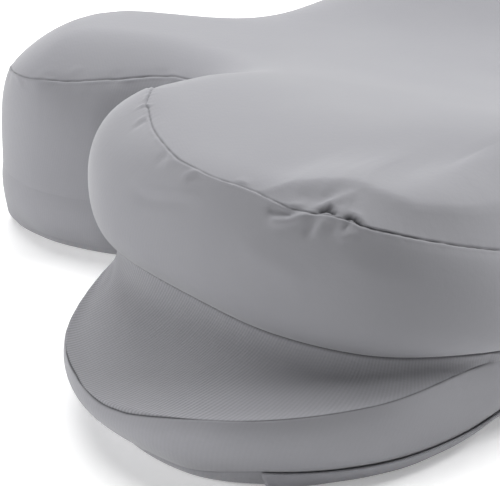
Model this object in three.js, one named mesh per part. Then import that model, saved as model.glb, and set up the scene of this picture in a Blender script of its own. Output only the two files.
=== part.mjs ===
// Memory foam neck pillow with four lobes and an arm rest under each front lobe.
// It is one filled shape in a sewn knit cover, lying flat. Millimetres, +Z up.
// The origin is on the face it lies on, under the middle of the pillow.
// X runs along the pillow, -Y is the neck side and +Y the head side.
import * as THREE from "three";

// Left half of the outline, from the middle of the neck side round to the middle of the
// head side, a row for each place. The right half is its mirror image.
// x, y       widest line of the upper wall, seen from above
// seamIn     how far inside that line the top seam lies, and seamZ how high it is
// bulgeZ     height of the widest line
// tuckIn     how far the middle seam is drawn in under the bulge, and tuckZ its height
// shelfOut   how far the rim below stands out from the middle seam, which is the arm rest
// shelfDrop  how far the rim lies under the middle seam
// footIn     how far the base seam is drawn in under the rim
const COLUMNS = [
  "x", "y", "seamIn", "seamZ", "bulgeZ", "tuckIn", "tuckZ", "shelfOut", "shelfDrop", "footIn",
];
const OUTLINE = {
  neckMiddle:   [     0,  -134,   14,  70,   46,  3, 33,    1,    3,    8],
  neckHollow:   [   -55,  -139,   14,  72,   47,  3, 34,    1,    3,   10],
  neckSide:     [  -110,  -164,   14,  78,   52,  4, 36,    1,    3, 16.5],
  shelfTip:     [  -165,  -194,    9,  90,   60,  6, 45,    1,    5,  5.5],
  wingFront:    [  -212,  -196,    9, 103,   66,  7, 49,   22,   11,  7.5],
  wingShoulder: [  -250,  -172,   11, 108,   71,  7, 53, 47.5, 18.5, 11.5],
  wingNose:     [  -280,  -129,   11, 113,   77, 12, 55,   52,   29, 14.5],
  wingEnd:      [  -299,   -76,   25, 116,   80, 15, 53,   30,   28,   15],
  wingBack:     [  -292,   -28,   25, 119,   84, 11, 46,    2,    8, 14.5],
  notchFront:   [  -262,     4,   16, 106,   68,  6, 40,    2,    5,   10],
  notch:        [  -236,    28,   12,  96,   58,  3, 36,    1,    3,    5],
  notchBack:    [  -248,    50,   10,  94,   55,  1, 34,    0,    3,    4],
  lobeFront:    [  -278,    64,    9,  90,   55,  0, 34,    0,    3,  7.5],
  lobeCorner:   [-304.5,    94,    2,  87,   52,  0, 34,    0,    3,  7.5],
  lobeEnd:      [-309.5, 137.5,    7,  83, 48.5,  0, 34,    0,    3,  1.5],
  lobeBackEnd:  [  -282,   176, 14.5,  84,   52,  0, 34,    0,    3,    7],
  lobeBack:     [  -238,   188,   12,  80,   50,  0, 32,    0,    3,    4],
  waistSide:    [  -182,   178,   13,  77,   46,  0, 30,    0,    3,    4],
  waist:        [  -105,   198,   12,  88,   50,  0, 32,    0,    3,    4],
  headMiddle:   [     0,   212,   12,  90,   52,  0, 32,    0,    3,    4],
};

// The crown: a level top with soft hills and hollows on it, each on both halves. The
// higher its flatness, the more level a hill is on top.
const CROWN_Z = 97;
const HILLS = {
  wing:       { x: 261, y: -85, reachX: 143, reachY: 125, rise: 15.7, flatness: 2 },
  wingBack:   { x: 263, y: -34, reachX:  65, reachY:  68, rise: 8.6, flatness: 1 },
  neckRoll:   { x:   0, y: -99, reachX: 164, reachY:  44, rise: 11.5, flatness: 1 },
  backLobe:   { x: 253, y: 110, reachX:  63, reachY:  68, rise: 9.8, flatness: 1 },
  headCradle: { x:   0, y:  38, reachX: 110, reachY:  81, rise: -17, flatness: 1 },
  headEdge:   { x:  65, y: 158, reachX:  80, reachY:  40, rise: 15, flatness: 1 },
};
const LEAST_ROLL = 14; // how wide the crown's edge is where it rolls down to the top seam
const ROLL_SHARE = 1.3; // how much wider for each millimetre that it rolls down
const EDGE_WIDTH = 18; // of the rows of the crown that run beside the top seam
const OVAL = { y: 12, reachX: 100, reachY: 68 }; // ring of the mesh in the middle of the crown
const LEAST_WALL_SLOPE = 1 / 3; // at the top seam, as a share of the upper wall's mean slope

// Handles of the side's curves, as shares of the sizes that they round.
const HANDLES = {
  seamOut: 0.6, // of seamIn, out of the top seam
  bulgeAbove: 0.5, // of the height between top seam and bulge
  bulgeBelow: 0.5, // of the height between bulge and middle seam
  tuckOut: 0.6, // of tuckIn
  tuckUp: 0.2, // of the height between bulge and middle seam
  scoopOut: 0.1, // of shelfOut, and scoopDown of shelfDrop: the shelf's inner end dips
  scoopDown: 0.6,
  rimIn: 0.45, // of shelfOut, and rimUp of shelfDrop: its outer end runs level
  rimUp: 0.05,
  rimOut: 0.06, // of shelfOut, beside RIM_SWELL
  rimBelow: 0.31, // of the band's height
  footOut: 0.95, // of footIn, and footAbove of the band's height
  footAbove: 0.35,
  footBelow: 0.45, // of the base seam's height
  soleIn: 0.22, // of the same height, inward from the base seam
  soleOut: 0.45, // of the same height, outward from the flat base
};
const RIM_SWELL = 1.5; // how far the band leans out where it leaves a rim without a shelf
const LEAST_FOOT_LEAN = 1;

// The flap over the zip, sewn along the base seam from one arm rest round to the other.
const FLAP_STATION = 4.75; // where it starts, in rows of the outline
const FLAP_FOOT = 9; // height of the base seam over the flap
const LOW_FOOT = 4.5; // and everywhere else, past the rows over which it comes down
const FOOT_FALL = 0.6; // how many rows those are
const FLAP_THICK = 1.2;
const FLAP_GAP = 0.36; // between the flap and the cover behind it
const FLAP_STEPS = 4; // of the steps in which the base is rounded, those that it covers

// Steps of the mesh, between two rows of the outline and down each band of the side.
const STEPS = {
  along: 3,
  seamLine: 12,
  oval: 3,
  crown: 6,
  edge: 5,
  upperWall: 7,
  lowerWall: 5,
  shelf: 6,
  band: 4,
  base: 6,
};

const COLOUR = { cover: 0xa3a3a8, flap: 0x8b8b90 };

const place = (row) => Object.fromEntries(COLUMNS.map((name, i) => [name, row[i]]));
const leftHalf = Object.values(OUTLINE).map(place);
const rightHalf = leftHalf
  .slice(1, -1)
  .reverse()
  .map((p) => ({ ...p, x: -p.x }));
const around = [...leftHalf, ...rightHalf];

// Catmull-Rom curve through one column of the outline, at a station counted in rows.
function alongColumn(name, station) {
  const row = Math.floor(station);
  const share = station - row;
  const at = (i) => around[(i + around.length) % around.length][name];
  const before = at(row - 1);
  const start = at(row);
  const end = at(row + 1);
  const after = at(row + 2);
  return (
    0.5 *
    (2 * start +
      (end - before) * share +
      (2 * before - 5 * start + 4 * end - after) * share ** 2 +
      (3 * start - before - 3 * end + after) * share ** 3)
  );
}

// Sizes at a station, with the base seam's height and the outward direction of the wall.
function stationAt(station) {
  const sizes = Object.fromEntries(COLUMNS.map((name) => [name, alongColumn(name, station)]));
  const step = 0.01;
  const ahead = station + step;
  const behind = station - step + around.length;
  const dx = alongColumn("x", ahead) - alongColumn("x", behind);
  const dy = alongColumn("y", ahead) - alongColumn("y", behind);
  const length = Math.hypot(dx, dy);
  const toMiddle = Math.min(station, around.length - station);
  const fall = THREE.MathUtils.smoothstep(toMiddle, FLAP_STATION, FLAP_STATION + FOOT_FALL);
  const footZ = THREE.MathUtils.lerp(FLAP_FOOT, LOW_FOOT, fall);
  return { ...sizes, footZ, outX: -dy / length, outY: dx / length };
}

const onWall = (s, { x: out, y: z }) => new THREE.Vector3(s.x + s.outX * out, s.y + s.outY * out, z);

function crownHeight(x, y) {
  let z = CROWN_Z;
  for (const hill of Object.values(HILLS)) {
    for (const side of hill.x ? [-1, 1] : [1]) {
      const across = (x - side * hill.x) / hill.reachX;
      const deep = (y - hill.y) / hill.reachY;
      z += hill.rise * Math.exp(-((across ** 2 + deep ** 2) ** hill.flatness));
    }
  }
  return z;
}

const rollWidth = (drop) => LEAST_ROLL + ROLL_SHARE * drop;

// How steeply the wall leaves the top seam: as the crown comes down to it, or steeper.
function wallSlope(s) {
  const seam = onWall(s, new THREE.Vector2(-s.seamIn, s.seamZ));
  const drop = crownHeight(seam.x, seam.y) - seam.z;
  const least = (LEAST_WALL_SLOPE * (s.seamZ - s.bulgeZ)) / s.seamIn;
  return Math.max(least, (2 * drop) / rollWidth(drop));
}

// The side of the pillow at a station, as points (out, z) from the top seam down to the
// edge of the flat base. "out" is measured from the widest line, outward.
function sideProfile(s) {
  const point = (out, z) => new THREE.Vector2(out, z);
  const seam = point(-s.seamIn, s.seamZ);
  const bulge = point(0, s.bulgeZ);
  const tuck = point(-s.tuckIn, s.tuckZ);
  const rim = point(s.shelfOut - s.tuckIn, s.tuckZ - s.shelfDrop);
  const foot = point(rim.x - s.footIn, s.footZ);
  const floor = point(foot.x - s.footZ, 0); // the base is rounded as far in as it is high

  const upperHeight = s.seamZ - s.bulgeZ;
  const lowerHeight = s.bulgeZ - s.tuckZ;
  const bandHeight = rim.y - s.footZ;
  const h = HANDLES;
  const bands = [
    {
      from: seam,
      leave: point(h.seamOut * s.seamIn, -h.seamOut * s.seamIn * wallSlope(s)),
      arrive: point(0, h.bulgeAbove * upperHeight),
      to: bulge,
      steps: STEPS.upperWall,
    },
    {
      from: bulge,
      leave: point(0, -h.bulgeBelow * lowerHeight),
      arrive: point(h.tuckOut * s.tuckIn, h.tuckUp * lowerHeight),
      to: tuck,
      steps: STEPS.lowerWall,
    },
    {
      from: tuck,
      leave: point(h.scoopOut * s.shelfOut, -h.scoopDown * s.shelfDrop),
      arrive: point(-h.rimIn * s.shelfOut, h.rimUp * s.shelfDrop),
      to: rim,
      steps: STEPS.shelf,
    },
    {
      from: rim,
      leave: point(RIM_SWELL + h.rimOut * s.shelfOut, -h.rimBelow * bandHeight),
      arrive: point(Math.max(h.footOut * s.footIn, LEAST_FOOT_LEAN), h.footAbove * bandHeight),
      to: foot,
      steps: STEPS.band,
    },
    {
      from: foot,
      leave: point(-h.soleIn * s.footZ, -h.footBelow * s.footZ),
      arrive: point(h.soleOut * s.footZ, 0),
      to: floor,
      steps: STEPS.base,
    },
  ];
  const profile = [seam];
  for (const { from, leave, arrive, to, steps } of bands) {
    const curve = new THREE.CubicBezierCurve(from, from.clone().add(leave), to.clone().add(arrive), to);
    profile.push(...curve.getPoints(steps).slice(1));
  }
  return profile;
}

// The top seam all the way round, and how far below the crown's hills it lies there.
const seamLine = [];
for (let i = 0; i < around.length * STEPS.seamLine; i += 1) {
  const s = stationAt(i / STEPS.seamLine);
  const { x, y, z } = onWall(s, new THREE.Vector2(-s.seamIn, s.seamZ));
  seamLine.push({ x, y, drop: crownHeight(x, y) - z });
}

// The top surface: the hills, rolling down to the stretches of the top seam nearby.
function topHeight(x, y) {
  let lowering = 0;
  for (const seam of seamLine) {
    const share = 1 - Math.hypot(seam.x - x, seam.y - y) / rollWidth(seam.drop);
    if (share > 0) lowering = Math.max(lowering, seam.drop * share ** 2);
  }
  return crownHeight(x, y) - lowering;
}

// From near the middle of the crown out to near the top seam: rings that grow into an
// oval, rings between the oval and the edge, and rings that keep beside the seam.
function crownPoints(s, turn) {
  const angle = 2 * Math.PI * turn;
  const oval = { x: -OVAL.reachX * Math.sin(angle), y: OVAL.y - OVAL.reachY * Math.cos(angle) };
  const inside = (depth) => onWall(s, new THREE.Vector2(-s.seamIn - depth, 0));
  const edge = inside(EDGE_WIDTH);
  const points = [];
  for (let i = 1; i <= STEPS.oval; i += 1) {
    const share = i / STEPS.oval;
    points.push(new THREE.Vector3(oval.x * share, OVAL.y + (oval.y - OVAL.y) * share, 0));
  }
  for (let i = 1; i <= STEPS.crown; i += 1) {
    points.push(new THREE.Vector3(oval.x, oval.y, 0).lerp(edge, i / STEPS.crown));
  }
  for (let i = STEPS.edge - 1; i > 0; i -= 1) points.push(inside((EDGE_WIDTH * i) / STEPS.edge));
  for (const point of points) point.z = topHeight(point.x, point.y);
  return points;
}

// A closed skin over rings of points. The first ring closes on the point top and the last
// one on the point bottom.
function closedSkin(columns, top, bottom) {
  const rows = columns[0].length;
  const points = [top, bottom, ...columns.flat()];
  const at = (column, row) => 2 + (column % columns.length) * rows + row;
  const triangles = [];
  columns.forEach((_, c) => {
    triangles.push(0, at(c + 1, 0), at(c, 0));
    triangles.push(1, at(c, rows - 1), at(c + 1, rows - 1));
    for (let r = 0; r < rows - 1; r += 1) {
      triangles.push(at(c, r), at(c + 1, r), at(c, r + 1));
      triangles.push(at(c + 1, r), at(c + 1, r + 1), at(c, r + 1));
    }
  });
  return skinOf(points, triangles);
}

// A strip with flat ends: the same closed section at each place along it.
function closedStrip(sections) {
  const count = sections[0].length;
  const at = (section, corner) => section * count + (corner % count);
  const triangles = [];
  for (let s = 0; s < sections.length - 1; s += 1) {
    for (let c = 0; c < count; c += 1) {
      triangles.push(at(s, c), at(s, c + 1), at(s + 1, c));
      triangles.push(at(s + 1, c), at(s, c + 1), at(s + 1, c + 1));
    }
  }
  const last = sections.length - 1;
  for (let c = 0; c < count / 2 - 1; c += 1) {
    const across = count - 1 - c;
    triangles.push(at(0, c), at(0, across), at(0, c + 1));
    triangles.push(at(0, c + 1), at(0, across), at(0, across - 1));
    triangles.push(at(last, c), at(last, c + 1), at(last, across));
    triangles.push(at(last, c + 1), at(last, across - 1), at(last, across));
  }
  return skinOf(sections.flat(), triangles);
}

function skinOf(points, triangles) {
  const geometry = new THREE.BufferGeometry().setFromPoints(points);
  geometry.setIndex(triangles);
  geometry.computeVertexNormals();
  return geometry;
}

function fabric(colour) {
  return new THREE.MeshStandardMaterial({ color: colour, roughness: 0.92, metalness: 0 });
}

// The filled pillow: crown, top seam, bulging wall, drawn-in middle seam, the arm rests'
// shelf and rim, base seam and flat base.
function pillow() {
  const columns = [];
  for (let i = 0; i < around.length * STEPS.along; i += 1) {
    const s = stationAt(i / STEPS.along);
    const side = sideProfile(s).map((p) => onWall(s, p));
    columns.push([...crownPoints(s, i / (around.length * STEPS.along)), ...side]);
  }
  const top = new THREE.Vector3(0, OVAL.y, topHeight(0, OVAL.y));
  const bottom = new THREE.Vector3(0, OVAL.y, 0);
  const mesh = new THREE.Mesh(closedSkin(columns, top, bottom), fabric(COLOUR.cover));
  mesh.name = "pillow";
  return mesh;
}

// The zip flap follows the rounded foot of the pillow, a gap outside it.
function zipFlap() {
  const start = Math.round(FLAP_STATION * STEPS.along);
  const sections = [];
  for (let i = -start; i <= start; i += 1) {
    const turn = (i + around.length * STEPS.along) / STEPS.along;
    const s = stationAt(turn % around.length);
    const foot = sideProfile(s).slice(-STEPS.base - 1).slice(0, FLAP_STEPS + 1);
    const inner = offsetProfile(foot, FLAP_GAP);
    const outer = offsetProfile(foot, FLAP_GAP + FLAP_THICK);
    sections.push([...inner, ...outer.reverse()].map((p) => onWall(s, p)));
  }
  const mesh = new THREE.Mesh(closedStrip(sections), fabric(COLOUR.flap));
  mesh.name = "zip_flap";
  return mesh;
}

// A profile moved away from the pillow, square to its own run.
function offsetProfile(profile, distance) {
  return profile.map((p, i) => {
    const next = profile[Math.min(i + 1, profile.length - 1)];
    const previous = profile[Math.max(i - 1, 0)];
    const run = next.clone().sub(previous).normalize();
    return new THREE.Vector2(p.x - run.y * distance, p.y + run.x * distance);
  });
}

const root = new THREE.Group();
root.add(pillow(), zipFlap());

export default root;
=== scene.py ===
import math

import bmesh
import bpy
import numpy as np
from mathutils import Matrix, Vector
from mathutils.kdtree import KDTree


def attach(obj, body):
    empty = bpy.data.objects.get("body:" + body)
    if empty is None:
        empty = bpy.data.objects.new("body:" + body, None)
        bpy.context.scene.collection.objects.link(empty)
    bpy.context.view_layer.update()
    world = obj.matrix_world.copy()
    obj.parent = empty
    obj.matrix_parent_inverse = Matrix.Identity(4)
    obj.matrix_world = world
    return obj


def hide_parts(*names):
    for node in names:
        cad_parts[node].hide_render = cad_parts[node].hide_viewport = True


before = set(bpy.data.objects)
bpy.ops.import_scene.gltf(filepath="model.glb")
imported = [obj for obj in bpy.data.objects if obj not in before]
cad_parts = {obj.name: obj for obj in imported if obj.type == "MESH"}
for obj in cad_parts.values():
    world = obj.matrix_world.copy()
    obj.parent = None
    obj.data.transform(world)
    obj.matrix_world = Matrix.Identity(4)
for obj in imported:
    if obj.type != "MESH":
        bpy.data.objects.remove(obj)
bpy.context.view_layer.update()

# The pillow is one moulded block of memory foam with two wings on the neck side, two lobes
# on the head side and an arm rest shelf under each wing. A cover of stretch knit is sewn
# over it from a top, a side, a shelf and a band, tight enough to show the foam's shape.

# It is made here as one cloth: columns run from the middle of the crown down the side to
# the middle of the base, and rows run round it. Its sizes are in millimetres.
SIZES = (
    "x",  # the widest line of the upper wall, seen from above
    "y",
    "seam_in",  # how far inside that line the top seam lies
    "seam_z",
    "bulge_z",  # height of the widest line
    "tuck_in",  # how far the middle seam is drawn in under the bulge
    "tuck_z",
    "shelf_out",  # how far the arm rest's rim stands out from the middle seam
    "shelf_drop",
    "foot_in",  # how far the base seam is drawn in under the rim
)
# A row for each place round the left half, from the middle of the neck side to the middle
# of the head side. A place between two rows is counted in rows, and is called its station.
LEFT_HALF = np.array(
    [
        (0, -134, 14, 70, 46, 3, 33, 1, 3, 8),
        (-55, -139, 14, 72, 47, 3, 34, 1, 3, 10),
        (-110, -164, 14, 78, 52, 4, 36, 1, 3, 16.5),
        (-165, -194, 9, 90, 60, 6, 45, 1, 5, 5.5),
        (-212, -196, 9, 103, 66, 7, 49, 22, 11, 7.5),
        (-250, -172, 11, 108, 71, 7, 53, 47.5, 18.5, 11.5),
        (-280, -129, 11, 113, 77, 12, 55, 52, 29, 14.5),
        (-299, -76, 25, 116, 80, 15, 53, 30, 28, 15),
        (-292, -28, 25, 119, 84, 11, 46, 2, 8, 14.5),
        (-262, 4, 16, 106, 68, 6, 40, 2, 5, 10),
        (-236, 28, 12, 96, 58, 3, 36, 1, 3, 5),
        (-248, 50, 10, 94, 55, 1, 34, 0, 3, 4),
        (-278, 64, 9, 90, 55, 0, 34, 0, 3, 7.5),
        (-304.5, 94, 2, 87, 52, 0, 34, 0, 3, 7.5),
        (-309.5, 137.5, 7, 83, 48.5, 0, 34, 0, 3, 1.5),
        (-282, 176, 14.5, 84, 52, 0, 34, 0, 3, 7),
        (-238, 188, 12, 80, 50, 0, 32, 0, 3, 4),
        (-182, 178, 13, 77, 46, 0, 30, 0, 3, 4),
        (-105, 198, 12, 88, 50, 0, 32, 0, 3, 4),
        (0, 212, 12, 90, 52, 0, 32, 0, 3, 4),
    ],
    float,
)
RIGHT_HALF = LEFT_HALF[-2:0:-1] * ([-1] + [1] * (len(SIZES) - 1))
AROUND = np.concatenate([LEFT_HALF, RIGHT_HALF])


# Between two rows of the outline the cloth has more columns where small wrinkles show.
LEFT_WING, WING_COLUMNS = range(2, 8), 36
LEFT_NOTCH_AND_LOBE, NOTCH_COLUMNS = range(8, 14), 16
OTHER_COLUMNS = 12


def columns_after(row):
    """How many columns the cloth has between a row of the outline and the next one."""
    if row in LEFT_WING:
        return WING_COLUMNS
    if row in LEFT_NOTCH_AND_LOBE:
        return NOTCH_COLUMNS
    return OTHER_COLUMNS


stations = np.concatenate(
    [
        np.linspace(row, row + 1, columns_after(row), endpoint=False)
        for row in range(len(AROUND))
    ]
)


def along(name, station):
    """A size at any station, on a smooth curve through the outline's rows."""
    column = AROUND[:, SIZES.index(name)]
    row = np.floor(station).astype(int)
    share = station - row
    before, start, end, after = (column[(row + step) % len(column)] for step in (-1, 0, 1, 2))
    return 0.5 * (
        2 * start
        + (end - before) * share
        + (2 * before - 5 * start + 4 * end - after) * share**2
        + (3 * start - before - 3 * end + after) * share**3
    )


def between(value, start, end):
    """Smoothly from 0 at start to 1 at end."""
    share = np.clip((value - start) / (end - start), 0, 1)
    return share**2 * (3 - 2 * share)


size = {name: along(name, stations) for name in SIZES}
mirrored = np.minimum(stations, len(AROUND) - stations)
TURN_STEP = 0.01
run_x = along("x", stations + TURN_STEP) - along("x", stations - TURN_STEP)
run_y = along("y", stations + TURN_STEP) - along("y", stations - TURN_STEP)
out_x = -run_y / np.hypot(run_x, run_y)
out_y = run_x / np.hypot(run_x, run_y)


def on_wall(out, z):
    """Points in space from how far out of the widest line they lie, and how high."""
    shape = (-1,) + (1,) * (np.ndim(out) - 1)
    x = size["x"].reshape(shape) + out_x.reshape(shape) * out
    y = size["y"].reshape(shape) + out_y.reshape(shape) * out
    return np.stack([x, y, z + 0 * x], axis=-1)


# The crown is level, with soft hills and hollows: x, y, reach along x, reach along y, rise
# and how flat the hill's top is.
CROWN_Z = 97
HILLS = (
    (-261, -85, 143, 125, 15.7, 2),  # wings
    (261, -85, 143, 125, 15.7, 2),
    (-263, -34, 65, 68, 8.6, 1),  # backs of the wings
    (263, -34, 65, 68, 8.6, 1),
    (0, -99, 164, 44, 11.5, 1),  # neck roll
    (-253, 110, 63, 68, 9.8, 1),  # back lobes
    (253, 110, 63, 68, 9.8, 1),
    (0, 38, 110, 81, -17, 1),  # head cradle
    (-65, 158, 80, 40, 15, 1),  # head edge
    (65, 158, 80, 40, 15, 1),
)


def crown_height(x, y):
    """The level crown with its hills and hollows, before its edge rolls down."""
    z = CROWN_Z + 0 * x
    for hill_x, hill_y, reach_x, reach_y, rise, flatness in HILLS:
        spread = ((x - hill_x) / reach_x) ** 2 + ((y - hill_y) / reach_y) ** 2
        z = z + rise * np.exp(-(spread**flatness))
    return z


seam = on_wall(-size["seam_in"], size["seam_z"])
seam_drop = crown_height(seam[:, 0], seam[:, 1]) - seam[:, 2]

LEAST_ROLL = 14  # how wide the crown's edge is where it rolls down to the top seam
ROLL_SHARE = 1.3  # how much wider for each millimetre that it rolls down


def top_height(x, y):
    """The crown's hills, rolled down to the stretch of the top seam nearby."""
    side = np.roll(seam, -1, axis=0) - seam
    gap_x = x[:, None] - seam[:, 0]
    gap_y = y[:, None] - seam[:, 1]
    share = (gap_x * side[:, 0] + gap_y * side[:, 1]) / (side[:, 0] ** 2 + side[:, 1] ** 2)
    share = np.clip(share, 0, 1)
    gap = np.hypot(gap_x - share * side[:, 0], gap_y - share * side[:, 1])
    drop = seam_drop + share * (np.roll(seam_drop, -1) - seam_drop)
    width = LEAST_ROLL + ROLL_SHARE * drop
    lowering = drop * np.clip(1 - gap / width, 0, None) ** 2
    return crown_height(x, y) - np.clip(lowering.max(axis=1), 0, None)


# Rows of the crown: rings that grow into an oval, rings from the oval out to the edge,
# and rings that keep beside the top seam, closer and closer.
OVAL_Y, OVAL_REACH_X, OVAL_REACH_Y = 12, 100, 68
OVAL_ROWS, CROWN_ROWS, EDGE_ROWS = 5, 12, 16
EDGE_WIDTH, WING_EDGE_WIDTH = 18, 38  # how far in from the top seam its rows reach
WING_START, WING_END = 1.5, 8  # stations between which the edge is as wide as on the wing
BESIDE_SEAM = np.array([0.4, 0.8, 1.3, 2.0, 3.0])  # close rows on both sides of a seam
in_wing = between(np.minimum(stations - WING_START, WING_END - stations), 0, 1)
edge_width = EDGE_WIDTH + (WING_EDGE_WIDTH - EDGE_WIDTH) * in_wing

angle = 2 * math.pi * stations / len(AROUND)
oval_x = -OVAL_REACH_X * np.sin(angle)
oval_y = OVAL_Y - OVAL_REACH_Y * np.cos(angle)
edge = on_wall(-size["seam_in"] - edge_width, 0)
crown_rows = [(0 * oval_x, OVAL_Y + 0 * oval_y)]
for share in np.linspace(0, 1, OVAL_ROWS + 1)[1:]:
    crown_rows.append((oval_x * share, OVAL_Y + (oval_y - OVAL_Y) * share))
for share in np.linspace(0, 1, CROWN_ROWS + 1)[1:]:
    ring_x = oval_x + (edge[:, 0] - oval_x) * share
    ring_y = oval_y + (edge[:, 1] - oval_y) * share
    crown_rows.append((ring_x, ring_y))
edge_depths = [
    edge_width + (BESIDE_SEAM[-1] - edge_width) * share
    for share in np.linspace(0, 1, EDGE_ROWS + 1)[1:]
]
edge_depths += [depth + 0 * edge_width for depth in BESIDE_SEAM[-2::-1]]
for depth in edge_depths:
    ring = on_wall(-size["seam_in"] - depth, 0)
    crown_rows.append((ring[:, 0], ring[:, 1]))
crown_plan = np.stack([np.stack(ring, axis=-1) for ring in crown_rows], axis=1)

# Rings that crowd or cross in a tight corner are evened out, less and less toward the seam
# and not at all beside it.
EVEN_ROUNDS = 40
EVEN_STEP = 0.5  # how much of the way to its neighbours' middle a point goes in a round
moving = slice(1, len(crown_rows) - len(BESIDE_SEAM))
ease = between(np.arange(1, moving.stop), moving.stop, moving.stop - EDGE_ROWS)[:, None]
for _ in range(EVEN_ROUNDS):
    around = (np.roll(crown_plan, 1, axis=0) + np.roll(crown_plan, -1, axis=0))[:, moving]
    in_and_out = crown_plan[:, : moving.stop - 1] + crown_plan[:, 2 : moving.stop + 1]
    even = (around + in_and_out) / 4
    crown_plan[:, moving] += EVEN_STEP * ease * (even - crown_plan[:, moving])
crown = np.stack(
    [
        np.stack([*ring.T, top_height(*ring.T)], axis=-1)
        for ring in crown_plan.transpose(1, 0, 2)
    ],
    axis=1,
)

# The base seam runs higher over the zip flap, and the foot there turns further under.
FLAP_FOOT = 9  # height of the base seam over the flap
LOW_FOOT = 4.5  # and everywhere else, where it runs just above the floor
FLAP_END = 4.75  # station where the flap ends, on the left and on the right
FOOT_FALL = 0.6  # stations that the base seam takes to come down
FLAP_TUCK = 5  # how much further the foot turns under behind the flap
FULL_TUCK = 4.2  # station by which it does
foot_z = FLAP_FOOT + (LOW_FOOT - FLAP_FOOT) * between(mirrored, FLAP_END, FLAP_END + FOOT_FALL)
floor_in = foot_z + FLAP_TUCK * between(mirrored, FLAP_END, FULL_TUCK)

# The side in five curves from seam to seam, each with a handle where it leaves and where
# it arrives. A handle is a share of the sizes beside it: the first part out, the second up.
SEAM_HANDLE = 0.6
BULGE_HANDLE = 0.5
TUCK_OUT, TUCK_UP = 0.6, 0.2
SCOOP_OUT, SCOOP_DOWN = 0.1, 0.6  # the arm rest leaves the middle seam steeply
RIM_IN, RIM_UP = 0.45, 0.05  # and reaches its rim nearly level
RIM_SWELL, RIM_OUT, RIM_DOWN = 1.5, 0.06, 0.31
FOOT_OUT, FOOT_UP = 0.95, 0.35
LEAST_FOOT_LEAN = 1
FOOT_IN, FOOT_DOWN = 0.22, 0.45
SOLE_OUT = 0.45
LEAST_WALL_SLOPE = 1 / 3
CURVE_POINTS = 49

zero = 0 * stations
seam_at = (-size["seam_in"], size["seam_z"])
bulge_at = (zero, size["bulge_z"])
tuck_at = (-size["tuck_in"], size["tuck_z"])
rim_at = (size["shelf_out"] - size["tuck_in"], size["tuck_z"] - size["shelf_drop"])
foot_at = (rim_at[0] - size["foot_in"], foot_z)
floor_at = (foot_at[0] - floor_in, zero)
upper_height = size["seam_z"] - size["bulge_z"]
lower_height = size["bulge_z"] - size["tuck_z"]
band_height = rim_at[1] - foot_z


def curve(start, leave, arrive, end):
    """A cubic curve in every column, sampled finely."""
    start, leave, arrive, end = (
        np.stack([part + zero for part in point], axis=-1)[:, None, :]
        for point in (start, leave, arrive, end)
    )
    t = np.linspace(0, 1, CURVE_POINTS)[None, :, None]
    return (
        (1 - t) ** 3 * start
        + 3 * (1 - t) ** 2 * t * (start + leave)
        + 3 * (1 - t) * t**2 * (end + arrive)
        + t**3 * end
    )


def rows_down(line, middle_rows):
    """Points down a panel: close rows beside the seams at its ends, even rows between.

    On a narrow panel the close rows take up no more than half of it.
    """
    steps = np.linalg.norm(np.diff(line, axis=1), axis=2)
    reach = np.concatenate([np.zeros((len(line), 1)), np.cumsum(steps, axis=1)], axis=1)
    panel = []
    for place, length in zip(line, reach):
        full = length[-1]
        beside = BESIDE_SEAM * min(1, full / 4 / BESIDE_SEAM[-1])
        middle = np.linspace(beside[-1], full - beside[-1], middle_rows + 2)[1:-1]
        rows = np.concatenate([beside, middle, full - beside[::-1], [full]])
        panel.append(np.stack([np.interp(rows, length, part) for part in place.T], axis=-1))
    return np.array(panel)


# The wall leaves the top seam at least as steeply as the crown's edge rolls down to it.
roll_slope = 2 * seam_drop / (LEAST_ROLL + ROLL_SHARE * seam_drop)
wall_slope = np.maximum(LEAST_WALL_SLOPE * upper_height / size["seam_in"], roll_slope)
upper = curve(
    seam_at,
    (SEAM_HANDLE * size["seam_in"], -SEAM_HANDLE * size["seam_in"] * wall_slope),
    (0, BULGE_HANDLE * upper_height),
    bulge_at,
)
lower = curve(
    bulge_at,
    (0, -BULGE_HANDLE * lower_height),
    (TUCK_OUT * size["tuck_in"], TUCK_UP * lower_height),
    tuck_at,
)
shelf = curve(
    tuck_at,
    (SCOOP_OUT * size["shelf_out"], -SCOOP_DOWN * size["shelf_drop"]),
    (-RIM_IN * size["shelf_out"], RIM_UP * size["shelf_drop"]),
    rim_at,
)
band = curve(
    rim_at,
    (RIM_SWELL + RIM_OUT * size["shelf_out"], -RIM_DOWN * band_height),
    (np.maximum(FOOT_OUT * size["foot_in"], LEAST_FOOT_LEAN), FOOT_UP * band_height),
    foot_at,
)
roll = curve(
    foot_at,
    (-FOOT_IN * floor_in, -FOOT_DOWN * foot_z),
    (SOLE_OUT * floor_in, 0),
    floor_at,
)
PANELS = (
    # name, its curve and how many even rows it has
    ("wall", np.concatenate([upper, lower[:, 1:]], axis=1), 34),
    ("shelf", shelf, 22),
    ("band", band, 16),
    ("roll", roll, 0),
)
rows = [crown, on_wall(seam_at[0][:, None], seam_at[1][:, None])]
seam_row = {"top": crown.shape[1]}
panel_rows = [("crown", 0, seam_row["top"])]
for name, line, middle_rows in PANELS:
    first = panel_rows[-1][2]
    points = rows_down(line, middle_rows)
    rows.append(on_wall(points[:, :, 0], points[:, :, 1]))
    panel_rows.append((name, first, first + points.shape[1]))
    seam_row[name] = first + points.shape[1]
BASE_RINGS = (0.7, 0.35, 0)  # of the flat base, as shares of its size
floor_edge = rows[-1][:, -1]
for share in BASE_RINGS:
    rows.append((floor_edge * share + np.array([0, OVAL_Y, 0]) * (1 - share))[:, None])
panel_rows.append(("base", panel_rows[-1][2], panel_rows[-1][2] + len(BASE_RINGS)))
cloth = np.concatenate(rows, axis=1)

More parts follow.
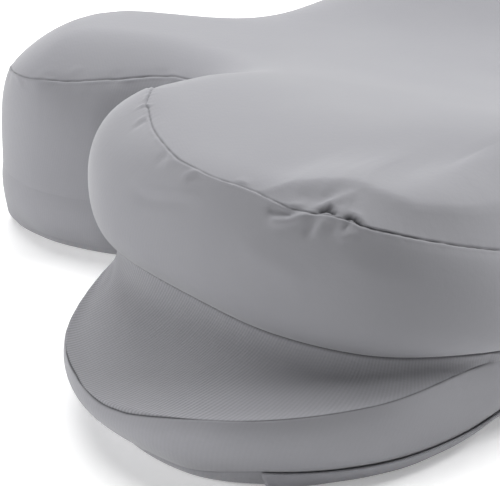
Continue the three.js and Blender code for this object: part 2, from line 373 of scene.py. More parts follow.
# Distances on the cloth: run is how far round the pillow a column stands at the bulge, and
# down is how far below the top seam a row lies, negative on the crown.
ROWS_TO_BULGE = 20
across = np.roll(cloth, -1, axis=0) - cloth
bulge_row = seam_row["top"] + ROWS_TO_BULGE
run = np.concatenate([[0], np.cumsum(np.linalg.norm(across[:, bulge_row], axis=1))])
FULL_RUN = run[-1]
run = run[:-1]


def depths_down(sheet, seam_name="top"):
    """How far below a seam each point lies, along its own column of the cloth."""
    steps = np.linalg.norm(np.diff(sheet, axis=1), axis=2)
    reach = np.concatenate([np.zeros((len(sheet), 1)), np.cumsum(steps, axis=1)], axis=1)
    return reach - reach[:, seam_row[seam_name]][:, None]


def run_at(station):
    """How far round the pillow a station stands."""
    return np.interp(station, stations, run)


SEED = 7
chance = np.random.default_rng(SEED)


def wobble(longest, count=7):
    """An uneven line round the pillow, about -1 to 1, with no step where it closes.

    Its waves are between the longest and a third of it.
    """
    line = 0 * run
    for _ in range(count):
        waves = round(FULL_RUN / longest * chance.uniform(1, 3))
        line = line + chance.uniform(0.5, 1) * np.sin(
            2 * math.pi * (waves * run / FULL_RUN + chance.uniform())
        )
    return line / math.sqrt(count)


# The top seam and the rim seam were sewn by eye and stray from their lines: station,
# millimetres down the side.
TOP_SWAY = (
    (2.3, 0), (2.7, 1.3), (3.0, -0.1), (3.3, -0.4), (3.6, 0.3), (4.0, 1.0), (4.15, 0.6),
    (4.3, -0.8), (4.5, -1.1), (4.66, 0.6), (4.9, 0.8), (5.1, -0.2), (5.26, -1.4),
    (5.42, -1.6), (5.66, -0.3), (5.9, -0.2), (6.1, 0.7), (6.4, 0.3), (6.8, 0.9), (7.1, 0.6),
    (7.3, 0.2), (7.42, 0.8), (7.68, -1.6), (8.2, -4.2), (8.7, -2.2), (9.1, 0),
)
RIM_SWAY = (
    (4.7, 0), (5.0, -0.4), (5.3, 0.6), (5.6, 1.9), (5.85, 1.6), (6.1, 0.2), (6.35, -1.2),
    (6.6, -0.5), (6.85, 0.5), (7.2, 0),
)
SWAY_REACH = 12  # how far from a seam the cloth moves with it
SEEN_START, SEEN_END = 2.3, 9  # stations between which the photograph shows the sway
SWAY_WAVE = 60
SWAYS = (
    # seam, how it strays in the photograph and how far it strays elsewhere
    ("top", TOP_SWAY, 0.4),
    ("shelf", RIM_SWAY, 0.3),
)
for name, table, elsewhere in SWAYS:
    unseen = (stations < SEEN_START) | (stations > SEEN_END)
    sway = np.interp(stations, *np.transpose(table))
    sway = sway + np.where(unseen, elsewhere * wobble(SWAY_WAVE), 0)
    from_seam = depths_down(cloth, name)
    for column, reach in enumerate(from_seam):
        swayed = reach + sway[column] * np.exp(-((reach / SWAY_REACH) ** 2))
        cloth[column] = np.stack(
            [np.interp(swayed, reach, part) for part in cloth[column].T], axis=-1
        )
down = depths_down(cloth)

# The foam swells the cover a little between its seams. A coarse copy of the cloth starts
# slightly inside its place. It is held along the seams and on the crown, the lobes and the
# base, where it lies tight on the foam, and is blown up with Blender's cloth. Its moves then
# go into the fine cloth.
SWELL_START = 0.4  # how far inside its place the cloth starts
SWELL_CAP = 1.5  # how far it may swell from there
SWELL_FREE = 14  # how far from a seam the cloth is free to swell
COARSE_COLUMNS = 3  # a column of the coarse copy for so many of the cloth
COARSE_ROW = 4  # least distance between its rows
HELD_BELOW = 0.05  # a point that is less free than this is held
SWELL_PRESSURE = 20
POINT_MASS = 0.1
KNIT_STIFFNESS = 5
SWELL_FRAMES = 20
SWELL_SMOOTHING = 12  # rounds, over the steps between the coarse points
SAME_PLACE = 1e-6  # metres: points closer than this are one
TINY = 1e-9  # keeps a length of nothing from dividing


def cloth_normals():
    """Outward at each point, and never downward on the crown."""
    turn = np.roll(cloth, -1, axis=0) - np.roll(cloth, 1, axis=0)
    fall = np.gradient(cloth, axis=1)
    normal = np.cross(turn, fall)
    normal[:, : seam_row["top"]] *= np.where(normal[:, : seam_row["top"], 2:] < 0, -1, 1)
    return normal / np.maximum(np.linalg.norm(normal, axis=2), TINY)[:, :, None]


def closed_round(columns):
    """The columns with the first one again at the end."""
    return np.concatenate([columns, columns[:1]])


def sheet_of(places):
    """A sheet of faces through columns of places, which are given in millimetres."""
    sheet = bmesh.new()
    bmesh.ops.create_grid(
        sheet, x_segments=places.shape[0] - 1, y_segments=places.shape[1] - 1, size=1
    )
    for vertex, place in zip(sheet.verts, places.transpose(1, 0, 2).reshape(-1, 3) / 1000):
        vertex.co = place
    return sheet


def mesh_from(form, name):
    """A finished form as a mesh."""
    mesh = bpy.data.meshes.new(name)
    form.to_mesh(mesh)
    form.free()
    return mesh


def add_object(name, data):
    """A new object in the scene, at the origin."""
    added = bpy.data.objects.new(name, data)
    bpy.context.collection.objects.link(added)
    return added


def swollen(start, held):
    """The places of a closed grid of points after the cloth has filled out."""
    balloon = sheet_of(closed_round(start))
    bmesh.ops.remove_doubles(balloon, verts=balloon.verts, dist=SAME_PLACE)
    bmesh.ops.recalc_face_normals(balloon, faces=balloon.faces)
    swelling_mesh = mesh_from(balloon, "swelling")
    swelling = add_object("swelling", swelling_mesh)
    finder = KDTree(len(swelling_mesh.vertices))
    for vertex in swelling_mesh.vertices:
        finder.insert(vertex.co, vertex.index)
    finder.balance()
    index = np.array([[finder.find(place)[1] for place in column / 1000] for column in start])
    sewn = swelling.vertex_groups.new(name="sewn")
    sewn.add([int(number) for number in np.unique(index[held])], 1, "REPLACE")
    knit = swelling.modifiers.new("Cloth", "CLOTH")
    knit.settings.vertex_group_mass = "sewn"
    knit.settings.use_pressure = True
    knit.settings.uniform_pressure_force = SWELL_PRESSURE
    knit.settings.mass = POINT_MASS
    knit.settings.tension_stiffness = KNIT_STIFFNESS
    knit.settings.effector_weights.gravity = 0
    knit.point_cache.frame_start = 1
    knit.point_cache.frame_end = SWELL_FRAMES
    for frame_number in range(1, SWELL_FRAMES + 1):
        bpy.context.scene.frame_set(frame_number)
    filled = swelling.evaluated_get(bpy.context.evaluated_depsgraph_get())
    places = np.array([vertex.co for vertex in filled.data.vertices]) * 1000
    bpy.data.objects.remove(swelling)
    bpy.data.meshes.remove(swelling_mesh)
    bpy.context.scene.frame_set(1)
    return places[index]


NO_TUCK, FULL_SEAM_TUCK = 0.3, 2.5  # there is a middle seam where the side is drawn in
has_middle_seam = between(size["tuck_in"], NO_TUCK, FULL_SEAM_TUCK)
from_seams = np.min([abs(down - down[:, row][:, None]) for row in seam_row.values()], axis=0)
free = between(from_seams, 0, SWELL_FREE) * has_middle_seam[:, None]
free[:, : seam_row["top"]] = 0
free[:, seam_row["roll"] :] = 0
start = cloth - cloth_normals() * (SWELL_START * free)[:, :, None]
coarse_rows = [0]
depth = down.mean(axis=0)
kept_rows = (*seam_row.values(), len(depth) - 1)
for row in range(1, len(depth)):
    next_kept = min(depth[line] for line in kept_rows if line >= row)
    from_last = depth[row] - depth[coarse_rows[-1]]
    is_far = from_last > COARSE_ROW and next_kept - depth[row] > COARSE_ROW / 2
    if is_far or row in kept_rows:
        coarse_rows.append(row)
coarse = start[::COARSE_COLUMNS, coarse_rows]
held = free[::COARSE_COLUMNS, coarse_rows] < HELD_BELOW
moves = swollen(coarse, held) - coarse
move_lengths = np.linalg.norm(moves, axis=2)
moves *= (np.minimum(move_lengths, SWELL_CAP) / np.maximum(move_lengths, TINY))[:, :, None]
moves = closed_round(moves)
coarse_run = np.append(run[::COARSE_COLUMNS], FULL_RUN)
moves_round = [
    [np.interp(run, coarse_run, line) for line in part.T]
    for part in moves.transpose(2, 0, 1)
]
swell = np.stack(
    [
        [np.interp(depth, depth[coarse_rows], line) for line in part.T]
        for part in np.array(moves_round)
    ],
    axis=-1,
)
for _ in range(SWELL_SMOOTHING):
    swell = (np.roll(swell, 1, axis=0) + 2 * swell + np.roll(swell, -1, axis=0)) / 4
    swell[:, 1:-1] = (swell[:, :-2] + 2 * swell[:, 1:-1] + swell[:, 2:]) / 4
cloth = start + swell * free[:, :, None]

# The seams draw the cover in. The rim seam is only as long as the arm rest, and the base
# seam only shows near the flap: elsewhere it lies under the pillow's edge.
RIM_SEAM_START, RIM_SEAM_END = (2.75, 3.0), (9.2, 9.8)  # stations over which each fades
BASE_SEAM_END = (5.1, 5.3)
has_rim_seam = between(mirrored, *RIM_SEAM_START) * (1 - between(mirrored, *RIM_SEAM_END))
has_base_seam = 1 - between(mirrored, *BASE_SEAM_END)

# How dark the top seam is, in the shade painted into it and in the depth of its groove: a
# tight seam shows less shade in it. Station, share.
TOP_DARK = (
    (0, 0.7), (4.2, 0.7), (4.7, 0.4), (5.0, 0.15), (5.6, 0.12), (6.2, 0.22), (7.3, 0.28),
    (9, 0.4),
)
UNEVEN_DARK, DARK_WAVE = 0.5, 18
evenly_dark = np.interp(mirrored, *np.transpose(TOP_DARK))
top_dark = np.clip(evenly_dark * (1 + UNEVEN_DARK * wobble(DARK_WAVE)), 0, 1)

# Relief is how far the cloth stands out from its place, and the painted seam shade is how
# much shade is painted into its colour there.
relief = np.zeros(down.shape)
painted_seam_shade = np.zeros(down.shape)
SEAMS = (
    # row, how much of it is there, how dark the shade painted into it is, depth, half width,
    # depth of the pull beside it, its width, and how high the folded allowance stands up just
    # below the seam
    ("top", 1 + 0 * run, top_dark, 0.8, 0.42, 0.45, 3.0, 0.3),
    ("wall", has_middle_seam, 1.0, 0.45, 0.36, 0.1, 3.0, 0.1),
    ("shelf", has_rim_seam, 1.0, 0.5, 0.36, 0.15, 2.5, 0.1),
    ("band", has_base_seam, 0.2, 0.3, 0.5, 0.1, 2.0, 0),
)
LEAST_DEPTH, DARK_DEPTH = 0.45, 0.6  # share of its depth that a seam has, and more if dark
UNEVEN_DEPTH, DEPTH_WAVE = 0.25, 14
ALLOWANCE, ALLOWANCE_WIDTH = 1.3, 0.7  # how far below the seam it lies
UNEVEN_LIP, LIP_WAVE = 0.6, 25
for name, there, dark, depth, half_width, pull, pull_width, lip in SEAMS:
    gap = down - down[:, seam_row[name]][:, None]
    uneven = there * (LEAST_DEPTH + DARK_DEPTH * dark) * (1 + UNEVEN_DEPTH * wobble(DEPTH_WAVE))
    uneven_lip = lip * there * (1 + UNEVEN_LIP * wobble(LIP_WAVE))
    relief -= uneven[:, None] * depth * np.exp(-((gap / half_width) ** 2))
    relief -= uneven[:, None] * pull * np.exp(-((gap / pull_width) ** 2))
    relief += uneven_lip[:, None] * np.exp(-(((gap - ALLOWANCE) / ALLOWANCE_WIDTH) ** 2))
    # painted shade along the seam's groove, as dark as the seam is
    painted_seam_shade = np.maximum(painted_seam_shade, (there * dark)[:, None] * np.exp(-((gap / half_width) ** 2)))

# Slack: along the front of the left wing the crown's cloth is a little too wide. It stands
# up in a crease and slopes from there to the seam: station, millimetres above the seam.
SLACK = np.array(
    [
        (1.2, 0), (1.8, 10), (2.6, 16.5), (3.05, 15), (3.5, 14), (3.7, 15.5), (4.16, 19.5),
        (4.5, 18), (4.75, 15.5), (5.0, 10), (5.12, 5), (5.2, 1.5), (5.27, 0),
    ]
)
SLACK_RISE = 0.3  # of the crease, for each millimetre above the seam
SLACK_TAIL = 30  # how far past the crease the cloth lies flat again
SAG = 1.7  # how hollow the slope is
LEAST_SLACK = 0.1
EVENED_COLUMNS = 27  # past the crease the cloth lies more evenly than the crease runs
EVENED_PAST = 6  # by this far past it

reach = np.interp(stations, SLACK[:, 0], SLACK[:, 1])
evening = np.hanning(EVENED_COLUMNS)
evened_reach = np.convolve(reach, evening / evening.sum(), "same")
above_seam = np.clip(-down, 0, None)
beyond = np.clip(above_seam - reach[:, None], 0, None)
up_the_slope = np.clip(above_seam / np.maximum(reach, LEAST_SLACK)[:, None], 0, 1)
sagging = reach[:, None] * up_the_slope**SAG
uneven_past = (reach - evened_reach)[:, None] * np.exp(-((beyond / EVENED_PAST) ** 2))
lying = (evened_reach[:, None] + uneven_past) * np.exp(-((beyond / SLACK_TAIL) ** 2))
relief += SLACK_RISE * np.where(beyond > 0, lying, sagging)

FOLD_FADE = (-0.08, 0.25)  # shares of its length over which a fold rises at its ends


def fold(points, width, height):
    """A soft ridge along a line of (station, down) points, or a trough if it is negative."""
    places = np.array([(run_at(station), depth) for station, depth in points])
    sides = np.diff(places, axis=0)
    lengths = np.linalg.norm(sides, axis=1)
    nearest = np.full(down.shape, np.inf)
    progress = np.zeros(down.shape)
    for start, side, length, before in zip(places, sides, lengths, np.cumsum(lengths) - lengths):
        from_run = run[:, None] - start[0]
        from_down = down - start[1]
        along_side = np.clip((from_run * side[0] + from_down * side[1]) / length, 0, length)
        gap = np.hypot(
            from_run - along_side * side[0] / length, from_down - along_side * side[1] / length
        )
        closer = gap < nearest
        progress = np.where(closer, (before + along_side) / lengths.sum(), progress)
        nearest = np.where(closer, gap, nearest)
    ends = between(np.minimum(progress, 1 - progress), *FOLD_FADE)
    return height * ends * np.exp(-((nearest / width) ** 2))


# Folds of the left wing's cloth, each a line of (station, millimetres below the top seam),
# its width and its height.
FOLDS = (
    # over the seam at the slack's left end
    (((5.50, -3.2), (5.44, -2.6), (5.36, -2.2)), 0.8, 0.5),
    (((4.66, 0.2), (4.74, 2.4), (4.84, 5.0), (5.05, 8.8)), 1.7, 1.6),
    (((4.82, 1.9), (4.95, 3.4), (5.10, 5.2)), 1.7, -1.3),
    (((4.90, -1.2), (4.83, -2.1), (4.75, -3.0)), 1.2, 0.6),
    (((4.68, -2.0), (4.585, -4.0), (4.53, -5.8), (4.42, -9.4), (4.247, -14)), 1.7, 1.2),
    (((4.90, -5.8), (4.80, -6.4), (4.62, -7.8), (4.50, -11)), 2.2, -0.7),
    (((4.361, -2.3), (4.355, -4.7), (4.334, -9.4)), 1.1, 0.6),
    # where the crown's cloth hangs over the seam
    (((4.60, -3.4), (4.53, -4.6), (4.44, -3.8), (4.38, -2.2)), 1.0, 0.9),
    (((4.34, -2.6), (4.27, -3.5), (4.20, -3.4), (4.10, -2.2)), 1.0, 0.9),
    # below the seam there
    (((4.27, 0.3), (4.302, 3.1), (4.33, 5.6)), 0.8, -1.1),
    (((4.20, 3.0), (4.20, 4.6), (4.25, 6.0), (4.36, 9.3)), 1.3, 0.9),
    (((4.52, 1.6), (4.535, 5.1), (4.60, 9.0)), 1.8, 0.8),
    (((4.66, 4.0), (4.63, 6.5), (4.70, 9.5)), 2.0, -0.9),
    (((4.42, 2.4), (4.40, 5.0), (4.46, 8.5)), 1.6, -0.6),
    # at the nose of the wing
    (((7.44, 4.5), (7.406, 0.0), (7.33, -1.6)), 0.8, 0.7),
    (((7.38, 3.5), (7.36, 0.2), (7.29, -1.4)), 0.8, -0.3),
    (((7.05, 8.5), (7.07, 5.2), (7.04, 1.2)), 2.1, -0.55),
    (((7.14, 6.5), (7.15, 4.0), (7.13, 1.4)), 1.6, 0.4),
    (((6.28, 0.8), (6.294, 2.8), (6.35, 8.0)), 2.0, -0.6),
    (((6.24, 5.6), (6.18, 3.0), (6.10, 1.4)), 1.6, 0.6),
    (((5.98, 5.6), (5.891, 2.4), (5.84, 1.2)), 1.1, 0.9),
    (((5.90, 5.8), (5.84, 3.6), (5.76, 2.4)), 1.4, -0.4),
    (((5.498, -1.8), (5.44, -1.9), (5.392, -1.9)), 0.6, 0.3),
    # soft folds low on the wing's side
    (((6.55, 22), (6.33, 18.5), (6.08, 13.5), (5.73, 8.5)), 3.5, 1.0),
    (((6.50, 25), (6.30, 22.5), (6.05, 17.5), (5.71, 12.5)), 3.0, -0.9),
    (((5.30, 22), (4.95, 24), (4.60, 27)), 5.0, 0.5),
    (((4.40, 15), (3.90, 17), (3.40, 15)), 6.0, 0.4),
    # beside the middle seam and under the shelf's tip
    (((2.87, 48), (2.86, 52)), 0.8, -0.7),
    (((2.83, 51), (2.82, 55)), 1.2, 0.7),
    (((3.50, 58), (3.20, 61), (2.95, 64)), 1.4, 0.35),
    (((3.55, 64), (3.20, 67), (2.98, 70)), 1.4, 0.35),
    # over the lobe behind
    (((12.36, -3.2), (12.31, -8.5)), 1.3, 0.7),
    (((12.60, -2.0), (12.75, -3.0)), 1.2, -0.5),
    (((13.22, 0.8), (13.05, 4.5)), 1.0, 0.6),
    (((13.12, 1.2), (12.96, 5.0)), 1.0, -0.6),
)
for points, width, height in FOLDS:
    relief += fold(points, width, height)

# Two openings under the overhanging cloth: a shallow trough, and shade painted into the
# colour there, where the light would not reach.
OPENING_WIDTH, OPENING_DEPTH = 0.9, -1.3
SHADE_WIDTH, SHADE = 0.75, 1.4
OPENINGS = (
    ((4.61, -0.7), (4.52, -2.6), (4.42, -1.0)),
    ((4.35, -0.5), (4.25, -2.0), (4.13, -0.4)),
)
for points in OPENINGS:
    relief += fold(points, OPENING_WIDTH, OPENING_DEPTH)
    painted_seam_shade = np.maximum(painted_seam_shade, fold(points, SHADE_WIDTH, SHADE))
painted_seam_shade = np.clip(painted_seam_shade, 0, 1)

# Small puckers run across the top seam all round the rest of the pillow.
PUCKER_STATIONS = np.concatenate([np.linspace(9, 19, 24), np.linspace(20, 37, 44)])
MOST_STRAY, MOST_LEAN = 0.2, 0.06  # stations
PUCKER_TOP, PUCKER_LOW = (-6, -1), (1, 9)  # where its ends lie, down from the seam
PUCKER_HEIGHT, PUCKER_WIDTH = (0.25, 0.7), (1.5, 2.6)
for station in PUCKER_STATIONS:
    station = station + chance.uniform(-MOST_STRAY, MOST_STRAY)
    top_end = chance.uniform(*PUCKER_TOP)
    low_end = chance.uniform(*PUCKER_LOW)
    lean = chance.uniform(-MOST_LEAN, MOST_LEAN)
    height = chance.uniform(*PUCKER_HEIGHT) * chance.choice((-1, 1))
    width = chance.uniform(*PUCKER_WIDTH)
    relief += fold(((station - lean, top_end), (station + lean, low_end)), width, height)

# Cover, drawn over the foam: the relief is taken along the cloth's own normals, except at
# the middle of the crown and on the flat base.
relief[:, 0] = 0
relief[:, seam_row["roll"] :] = 0
cloth = cloth + cloth_normals() * relief[:, :, None]
cloth[:, :, 2] = np.maximum(cloth[:, :, 2], 0)

# The knit's ribs run down each panel with a slight lean, and stretch wider round the nose of
# the wing. A UV map counts them round the pillow and the courses down it, or along x and y
# on the crown. The real knit has a rib every 0.9 mm: it is drawn as coarse as it needs to
# show.
RIB_PITCH = 1.4
NOSE_PITCH = (
    # station, millimetres from rib to rib
    (5.4, RIB_PITCH), (6.0, 1.6), (6.5, 1.9), (7.2, 2.1), (8.5, RIB_PITCH),
)
RIB_LEAN = -0.25
COURSE = 1.5
rib_pitch = np.interp(mirrored, *np.transpose(NOSE_PITCH))
rib_count = np.concatenate([[0], np.cumsum(np.diff(np.append(run, FULL_RUN)) / rib_pitch)])
rib_count *= round(rib_count[-1]) / rib_count[-1]
closed = closed_round(cloth)
closed_down = closed_round(down)
side_ribs = rib_count[:, None] + RIB_LEAN * closed_down / RIB_PITCH
side_courses = closed_down / COURSE
crown_ribs = closed[:, :, 0] / RIB_PITCH
crown_courses = closed[:, :, 1] / COURSE

# How clearly the ribs show, in their bump and in the shade painted between them: plainly
# on the shelf, and hardly elsewhere, where the cloth is stretched flat. They fade on the
# lobes and toward the neck side.
RIB_SHOWS = {"crown": 0.04, "wall": 0.05, "shelf": 1.0, "band": 0.15, "roll": 0.15, "base": 0.15}
LOBE_SHOWS, LOBE_START = 0.15, (9.5, 11)  # stations over which it is reached
NECK_FADE, NECK_START = 0.65, (5.6, 4.4)
rib_shows = np.zeros(closed.shape[:2])
for name, first, end in panel_rows:
    rib_shows[:, first:end] = RIB_SHOWS[name]
rib_shows[:, -1] = RIB_SHOWS["base"]
closed_stations = closed_round(mirrored)[:, None]
below_top = rib_shows[:, seam_row["top"] :]
below_top += between(closed_stations, *LOBE_START) * (LOBE_SHOWS - below_top)
rib_shows *= 1 - NECK_FADE * between(closed_stations, *NECK_START)

pillow_mesh = mesh_from(sheet_of(closed), "pillow_cover")
corners = np.empty(len(pillow_mesh.loops), int)
pillow_mesh.loops.foreach_get("vertex_index", corners)
corner_row, corner_column = np.divmod(corners, closed.shape[0])
face_row = corner_row.reshape(-1, 4).min(axis=1).repeat(4)
on_crown = face_row < seam_row["top"]
corner_at = (corner_column, corner_row)
counts = [
    np.where(on_crown, crown_count[corner_at], side_count[corner_at])
    for crown_count, side_count in ((crown_ribs, side_ribs), (crown_courses, side_courses))
]
weave = pillow_mesh.uv_layers.new(name="weave")
weave.uv.foreach_set("vector", np.stack(counts, axis=-1).astype(np.float32).ravel())
# The painted seam shade, and how clearly the ribs show, go to the material as attributes.
for name, shares in (("painted_seam_shade", closed_round(painted_seam_shade)), ("rib_shows", rib_shows)):
    layer = pillow_mesh.attributes.new(name, "FLOAT", "POINT")
    layer.data.foreach_set("value", shares.T.astype(np.float32).ravel())

joined = bmesh.new()
joined.from_mesh(pillow_mesh)
bmesh.ops.remove_doubles(joined, verts=joined.verts, dist=SAME_PLACE)
bmesh.ops.recalc_face_normals(joined, faces=joined.faces)
joined.to_mesh(pillow_mesh)
joined.free()
pillow_mesh.shade_smooth()
pillow_cover = add_object("pillow_cover", pillow_mesh)


def linear(hex_colour):
    """A colour written as sRGB hex, as the linear RGBA that the nodes take."""
    parts = [int(hex_colour[i : i + 2], 16) / 255 for i in (1, 3, 5)]
    turned = [p / 12.92 if p <= 0.04045 else ((p + 0.055) / 1.055) ** 2.4 for p in parts]
    return (*turned, 1)


def node(tree, kind, settings=None, links=None):
    """A node with its settings, and the links into its sockets, by name or number."""
    made = tree.nodes.new(kind)
    for name, value in (settings or {}).items():
        if isinstance(name, str) and hasattr(made, name):
            setattr(made, name, value)
        else:
            made.inputs[name].default_value = value
    for socket, source in (links or {}).items():
        tree.links.new(source, made.inputs[socket])
    return made


def new_material(name):
    """A new material and its nodes, of which it has none yet."""
    material = bpy.data.materials.new(name)
    material.use_nodes = True
    material.node_tree.nodes.clear()
    return material, material.node_tree


# Stretch knit of polyester and elastane: fine ribs of round yarn, so it is matt with a
# soft sheen at grazing angles, and each rib and course shows as a tiny rise. Shade is
# painted into its colour between the ribs and in the seams.
KNIT_RISE = 0.14  # millimetres
COURSE_SHARE = 0.15  # of a rib's rise
SLUB_SHARE = 0.9
SLUBS_PER_METRE = 420  # the yarn's thick places, drawn 2.4 mm apart so that they show
MOTTLE_PER_METRE = 24  # patches of about 40 mm, where the knit was heathered unevenly
# The darker greys are painted shade: between the ribs, and in the seams.
RIB_SHADE_SHARE, SEAM_SHADE_SHARE = 0.11, 0.85  # shares of the darker greys there
stretch_knit, tree = new_material("stretch_knit")
uv = node(tree, "ShaderNodeUVMap", {"uv_map": "weave"})
parts = node(tree, "ShaderNodeSeparateXYZ", links={0: uv.outputs["UV"]})
rib_turn = node(
    tree, "ShaderNodeMath", {"operation": "MULTIPLY", 1: 2 * math.pi}, {0: parts.outputs["X"]}
)
rib_wave = node(tree, "ShaderNodeMath", {"operation": "SINE"}, {0: rib_turn.outputs[0]})
course_turn = node(
    tree, "ShaderNodeMath", {"operation": "MULTIPLY", 1: 2 * math.pi}, {0: parts.outputs["Y"]}
)
course_wave = node(tree, "ShaderNodeMath", {"operation": "SINE"}, {0: course_turn.outputs[0]})
yarns = node(
    tree,
    "ShaderNodeMath",
    {"operation": "MULTIPLY_ADD", 1: COURSE_SHARE},
    {0: course_wave.outputs[0], 2: rib_wave.outputs[0]},
)
shows = node(tree, "ShaderNodeAttribute", {"attribute_name": "rib_shows"})
knit_rise = node(
    tree,
    "ShaderNodeMath",
    {"operation": "MULTIPLY"},
    {0: yarns.outputs[0], 1: shows.outputs["Fac"]},
)
place = node(tree, "ShaderNodeTexCoord")
slubs = node(
    tree,
    "ShaderNodeTexNoise",
    {"Scale": SLUBS_PER_METRE, "Detail": 2.0},
    {"Vector": place.outputs["Object"]},
)
surface = node(
    tree,
    "ShaderNodeMath",
    {"operation": "MULTIPLY_ADD", 1: SLUB_SHARE},
    {0: slubs.outputs["Fac"], 2: knit_rise.outputs[0]},
)
bump = node(
    tree,
    "ShaderNodeBump",
    {"Strength": 0.6, "Distance": KNIT_RISE / 1000},
    {"Height": surface.outputs[0]},
)
mottle = node(
    tree,
    "ShaderNodeTexNoise",
    {"Scale": MOTTLE_PER_METRE, "Detail": 3.0},
    {"Vector": place.outputs["Object"]},
)
shade = node(
    tree,
    "ShaderNodeMix",
    {"data_type": "RGBA", 6: linear("#8f8f94"), 7: linear("#959599")},
    {0: mottle.outputs["Fac"]},
)
# Painted shade between the ribs: the colour darkens toward #3c3c40 in each rib's trough, as far
# as the ribs show.
painted_rib_shade = node(
    tree,
    "ShaderNodeMath",
    {"operation": "MULTIPLY_ADD", 1: -RIB_SHADE_SHARE, 2: RIB_SHADE_SHARE},
    {0: knit_rise.outputs[0]},
)
with_painted_rib_shade = node(
    tree,
    "ShaderNodeMix",
    {"data_type": "RGBA", 7: linear("#3c3c40")},
    {0: painted_rib_shade.outputs[0], 6: shade.outputs[2]},
)
# Painted shade in the seams and in the openings: the colour darkens toward #2c2c30 as the
# painted seam shade attribute rises.
seam_shade = node(tree, "ShaderNodeAttribute", {"attribute_name": "painted_seam_shade"})
seam_share = node(
    tree,
    "ShaderNodeMath",
    {"operation": "MULTIPLY", 1: SEAM_SHADE_SHARE},
    {0: seam_shade.outputs["Fac"]},
)
with_painted_seam_shade = node(
    tree,
    "ShaderNodeMix",
    {"data_type": "RGBA", 7: linear("#2c2c30")},
    {0: seam_share.outputs[0], 6: with_painted_rib_shade.outputs[2]},
)
cloth_shader = node(
    tree,
    "ShaderNodeBsdfPrincipled",
    {
        "Roughness": 0.85,
        "Specular IOR Level": 0.2,
        "Sheen Weight": 0.25,
        "Sheen Roughness": 0.4,
    },
    {"Base Color": with_painted_seam_shade.outputs[2], "Normal": bump.outputs["Normal"]},
)
node(tree, "ShaderNodeOutputMaterial", links={"Surface": cloth_shader.outputs[0]})
pillow_mesh.materials.append(stretch_knit)

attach(pillow_cover, "root")
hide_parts("pillow")

# Zip flap: a strip of woven polyester tape that hides the zip along the foot of the neck
# side. It is folded, sewn in with the base seam, and tacked down at both ends.
FLAP_THICK = 1.2
FLAP_GAP = 0.36  # between the flap and the cover behind it
FLAP_POINTS = 31  # of the rounded foot's points, those that it covers
FOLD_TURNS = np.linspace(0, math.pi, 7)  # half a turn round each folded edge

foot = roll[:, :FLAP_POINTS]
foot_run = np.gradient(foot, axis=1)
foot_run /= np.linalg.norm(foot_run, axis=2)[:, :, None]
foot_out = np.stack([-foot_run[:, :, 1], foot_run[:, :, 0]], axis=-1)

# Its length is measured from the middle of the neck side, leftwards.
flap_run = np.where(stations < len(AROUND) / 2, run, run - FULL_RUN)
right_end = run_at(len(AROUND) - FLAP_END) - FULL_RUN
from_end = np.minimum(run_at(FLAP_END) - flap_run, flap_run - right_end)
TACK_IN, TACK_WIDTH, TACK_DEPTH = 2.2, 0.8, 0.5  # sewn so far in from each end
UNEVEN_FLAP, FLAP_WAVE = 0.1, 45
tack = TACK_DEPTH * np.exp(-(((from_end - TACK_IN) / TACK_WIDTH) ** 2))
outer = FLAP_GAP + FLAP_THICK + UNEVEN_FLAP * wobble(FLAP_WAVE) - tack


def flap_row(point, offset, shift=0):
    """A row of the flap: beside a point of the foot, so far off it and so far along it."""
    beside = foot[:, point] + foot_out[:, point] * (offset + zero)[:, None]
    return beside + foot_run[:, point] * shift


# The strip goes up the flap's back, over its top edge, down its front and round its low edge.
half_thick = (outer - FLAP_GAP) / 2
strip = [flap_row(point, FLAP_GAP) for point in range(FLAP_POINTS - 1, 0, -1)]
for turned in FOLD_TURNS:
    offset = FLAP_GAP + half_thick * (1 - math.cos(turned))
    strip.append(flap_row(0, offset, -FLAP_THICK / 2 * math.sin(turned)))
strip += [flap_row(point, outer) for point in range(1, FLAP_POINTS - 1)]
for turned in FOLD_TURNS:
    offset = FLAP_GAP + half_thick * (1 + math.cos(turned))
    strip.append(flap_row(FLAP_POINTS - 1, offset, FLAP_THICK / 2 * math.sin(turned)))
strip = np.stack(strip, axis=1)

ROUNDING = 0.01  # a column this little past the end still counts as at it
LEAST_HEIGHT = 0.1  # of the flap's cloth above the floor
flap_columns = np.argsort(flap_run)
flap_columns = flap_columns[from_end[flap_columns] > -ROUNDING]
strip = on_wall(strip[:, :, 0], strip[:, :, 1])[flap_columns]
strip[:, :, 2] = np.maximum(strip[:, :, 2], LEAST_HEIGHT)
across_strip = np.linalg.norm(np.diff(strip, axis=1), axis=2).mean(axis=0).cumsum()
across_strip = np.concatenate([[0], across_strip])

tape = sheet_of(strip)
weave_layer = tape.loops.layers.uv.new("weave")
for face in tape.faces:
    for corner in face.loops:
        row, column = divmod(corner.vert.index, strip.shape[0])
        corner[weave_layer].uv = (flap_run[flap_columns[column]], across_strip[row])
bmesh.ops.remove_doubles(tape, verts=tape.verts, dist=SAME_PLACE)
bmesh.ops.holes_fill(tape, edges=[edge for edge in tape.edges if edge.is_boundary])
bmesh.ops.recalc_face_normals(tape, faces=tape.faces)
flap_mesh = mesh_from(tape, "zip_flap_tape")
flap_mesh.shade_smooth()
zip_flap_tape = add_object("zip_flap_tape", flap_mesh)

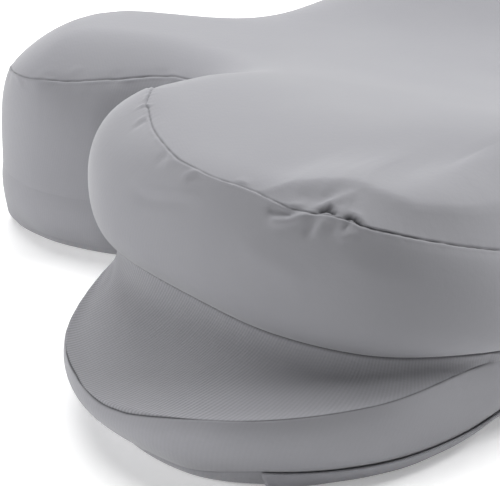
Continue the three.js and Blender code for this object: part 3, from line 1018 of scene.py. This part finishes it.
# Woven polyester tape: smooth and matt, with a fine slanting twill.
TWILL = 1.0  # millimetres from line to line, coarser than the real twill so that it shows
TWILL_RISE = 0.06
woven_tape, tree = new_material("woven_tape")
uv = node(tree, "ShaderNodeUVMap", {"uv_map": "weave"})
parts = node(tree, "ShaderNodeSeparateXYZ", links={0: uv.outputs["UV"]})
slant = node(
    tree,
    "ShaderNodeMath",
    {"operation": "ADD"},
    {0: parts.outputs["X"], 1: parts.outputs["Y"]},
)
line_turn = node(
    tree,
    "ShaderNodeMath",
    {"operation": "MULTIPLY", 1: 2 * math.pi / TWILL},
    {0: slant.outputs[0]},
)
lines = node(tree, "ShaderNodeMath", {"operation": "SINE"}, {0: line_turn.outputs[0]})
bump = node(
    tree,
    "ShaderNodeBump",
    {"Strength": 0.4, "Distance": TWILL_RISE / 1000},
    {"Height": lines.outputs[0]},
)
tape_shader = node(
    tree,
    "ShaderNodeBsdfPrincipled",
    {
        "Base Color": linear("#8a8a8f"),
        "Roughness": 0.8,
        "Specular IOR Level": 0.25,
        "Sheen Weight": 0.15,
        "Sheen Roughness": 0.4,
    },
    {"Normal": bump.outputs["Normal"]},
)
node(tree, "ShaderNodeOutputMaterial", links={"Surface": tape_shader.outputs[0]})
flap_mesh.materials.append(woven_tape)

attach(zip_flap_tape, "root")
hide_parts("zip_flap")

# Studio: a white floor that glows a little, like a light table, broad lights from behind
# and above, and softer ones from both sides.
FLOOR_REACH = 8
FLOOR_BELOW = 0.0005  # the pillow, so that the two faces don't meet
floor_form = bmesh.new()
bmesh.ops.create_grid(floor_form, x_segments=1, y_segments=1, size=FLOOR_REACH)
floor_mesh = mesh_from(floor_form, "studio_floor")
studio_floor = add_object("studio_floor", floor_mesh)
studio_floor.location.z = -FLOOR_BELOW
paper, tree = new_material("white_paper")
paper_shader = node(tree, "ShaderNodeBsdfDiffuse", {"Color": linear("#fafafa")})
glow = node(tree, "ShaderNodeEmission", {"Strength": 0.26})
lit_paper = node(
    tree, "ShaderNodeAddShader", links={0: paper_shader.outputs[0], 1: glow.outputs[0]}
)
node(tree, "ShaderNodeOutputMaterial", links={"Surface": lit_paper.outputs[0]})
floor_mesh.materials.append(paper)

scene = bpy.context.scene
scene.view_settings.view_transform = "Standard"
world = bpy.data.worlds.new("studio")
scene.world = world
world.use_nodes = True
background = world.node_tree.nodes["Background"]
background.inputs["Color"].default_value = (1, 1, 1, 1)
background.inputs["Strength"].default_value = 0.02


def soft_light(name, place, aim, width, power):
    """A round lamp at a place, facing what it is aimed at."""
    lamp = bpy.data.lights.new(name, "AREA")
    lamp.shape = "DISK"
    lamp.size = width
    lamp.energy = power
    holder = add_object(name, lamp)
    holder.location = place
    holder.rotation_mode = "QUATERNION"
    holder.rotation_quaternion = (Vector(aim) - Vector(place)).to_track_quat("-Z", "Y")


soft_light("back", (0, 1.9, 0.8), (-0.1, 0, 0.05), 1.0, 10)
soft_light("back_overhead", (-0.4, 0.8, 1.7), (-0.15, 0, 0), 1.4, 25)
soft_light("right_overhead", (0.9, 0.1, 1.5), (-0.15, 0, 0), 1.2, 34)
soft_light("left", (-1.9, -0.1, 0.6), (-0.2, 0, 0.05), 1.0, 18.5)
soft_light("right", (1.9, -0.2, 0.6), (-0.1, 0, 0.05), 1.0, 2.5)
soft_light("right_front", (1.2, -1.5, 0.6), (-0.15, -0.1, 0.05), 1.0, 3.2)

# The camera, found from the seams and the outline in the photograph.
PHOTO_WIDTH = 500  # pixels
FOCAL_LENGTH = 2331  # in the photograph's pixels
SENSOR_WIDTH = 36
CAMERA_TURN = math.radians(14)
CAMERA_PITCH = math.radians(21)
CAMERA_DISTANCE = 0.983
CAMERA_TARGET = Vector((-0.239, -0.104, 0.068))
sight = Vector(
    (
        math.sin(CAMERA_TURN) * math.cos(CAMERA_PITCH),
        math.cos(CAMERA_TURN) * math.cos(CAMERA_PITCH),
        -math.sin(CAMERA_PITCH),
    )
)
level = Vector((math.cos(CAMERA_TURN), -math.sin(CAMERA_TURN), 0))
upright = level.cross(sight)
camera_data = bpy.data.cameras.new("camera")
camera_data.sensor_width = SENSOR_WIDTH
camera_data.lens = FOCAL_LENGTH / PHOTO_WIDTH * SENSOR_WIDTH
camera_data.clip_start = 0.05
camera = add_object("camera", camera_data)
camera.matrix_world = Matrix.Translation(CAMERA_TARGET - sight * CAMERA_DISTANCE) @ (
    Matrix((level, upright, -sight)).transposed().to_4x4()
)
scene.camera = camera
